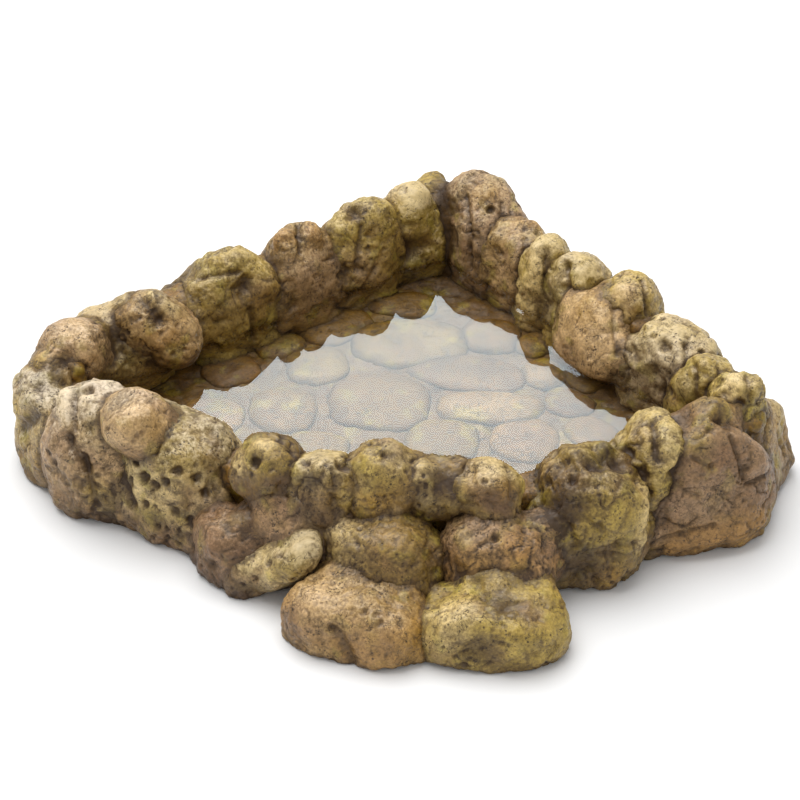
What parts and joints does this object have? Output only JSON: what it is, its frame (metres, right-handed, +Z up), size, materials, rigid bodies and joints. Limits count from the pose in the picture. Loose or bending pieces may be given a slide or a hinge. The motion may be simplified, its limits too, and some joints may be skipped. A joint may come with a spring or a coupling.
{
  "type": "corner water dish",
  "caption": "Quarter-round corner water dish for a vivarium, cast in painted resin as a ring of rocks with step stones in front and clear water over a cobbled floor.",
  "frame": {"origin": "under the middle of the dish, on the surface it stands on (bottom centre of its bounding box)", "axes": "+X from the left end to the right end, +Y along the diagonal from the front steps to the square back corner, +Z up"},
  "size_m": [0.3076, 0.2734, 0.0597],
  "materials": {
    "stone_tan": "cast resin, hand painted as rock with dark washes, satin seal",
    "stone_yellow": "cast resin, hand painted as rock with dark washes, satin seal",
    "stone_pink": "cast resin, hand painted as rock with dark washes, satin seal",
    "stone_peach": "cast resin, hand painted as rock with dark washes, satin seal",
    "stone_grey": "cast resin, hand painted as rock with dark washes, satin seal",
    "stone_dark": "cast resin, hand painted as rock with dark washes, satin seal",
    "stone_mauve": "cast resin, hand painted as rock with dark washes, satin seal",
    "shell_resin": "cast resin, dark brown wash",
    "water": "clear water, mirror-smooth surface"
  },
  "bodies": {
    "root": {"basin_shell": "shell_resin", "floor_cobble_01": "stone_pink", "floor_cobble_02": "stone_tan", "floor_cobble_03": "stone_grey", "floor_cobble_04": "stone_pink", "floor_cobble_05": "stone_peach", "floor_cobble_06": "stone_grey", "floor_cobble_07": "stone_grey", "floor_cobble_08": "stone_pink", "floor_cobble_09": "stone_yellow", "floor_cobble_10": "stone_grey", "floor_cobble_11": "stone_tan", "floor_cobble_12": "stone_grey", "floor_cobble_13": "stone_tan", "floor_cobble_14": "stone_yellow", "floor_cobble_15": "stone_peach", "floor_cobble_16": "stone_yellow", "floor_cobble_17": "stone_peach", "floor_cobble_18": "stone_yellow", "floor_cobble_19": "stone_tan", "floor_cobble_20": "stone_yellow", "front_craggy_cap": "stone_yellow", "front_craggy_mound": "stone_yellow", "front_matrix_stone": "stone_mauve", "front_right_block": "stone_pink", "left_back_stone": "stone_grey", "left_corner_chip": "stone_dark", "left_corner_oval": "stone_yellow", "left_dark_block": "stone_dark", "left_end_boulder": "stone_pink", "left_end_stone": "stone_grey", "left_leaning_egg": "stone_peach", "left_wall_block": "stone_yellow", "left_wall_twin": "stone_yellow", "left_wall_wedge": "stone_pink", "lower_step_left": "stone_peach", "lower_step_right": "stone_yellow", "mauve_side_boulder": "stone_mauve", "peach_boulder": "stone_peach", "pitted_boulder": "stone_grey", "ridged_tall_stone": "stone_pink", "right_corner_slab": "stone_pink", "right_corner_wedge": "stone_tan", "right_cracked_block": "stone_grey", "right_end_knob": "stone_yellow", "right_end_stone": "stone_tan", "right_inner_wedge": "stone_pink", "right_wall_block": "stone_yellow", "right_wall_cap": "stone_grey", "right_wall_knob": "stone_yellow", "right_wall_spur": "stone_yellow", "rim_boulder_holed": "stone_yellow", "rim_boulder_middle": "stone_tan", "rim_crag_yellow": "stone_yellow", "rim_knob_dark": "stone_dark", "rim_knob_right": "stone_yellow", "slanted_side_stone": "stone_grey", "upper_step_left": "stone_tan", "upper_step_right": "stone_pink", "water_fill": "water"}
  },
  "joints": []
}
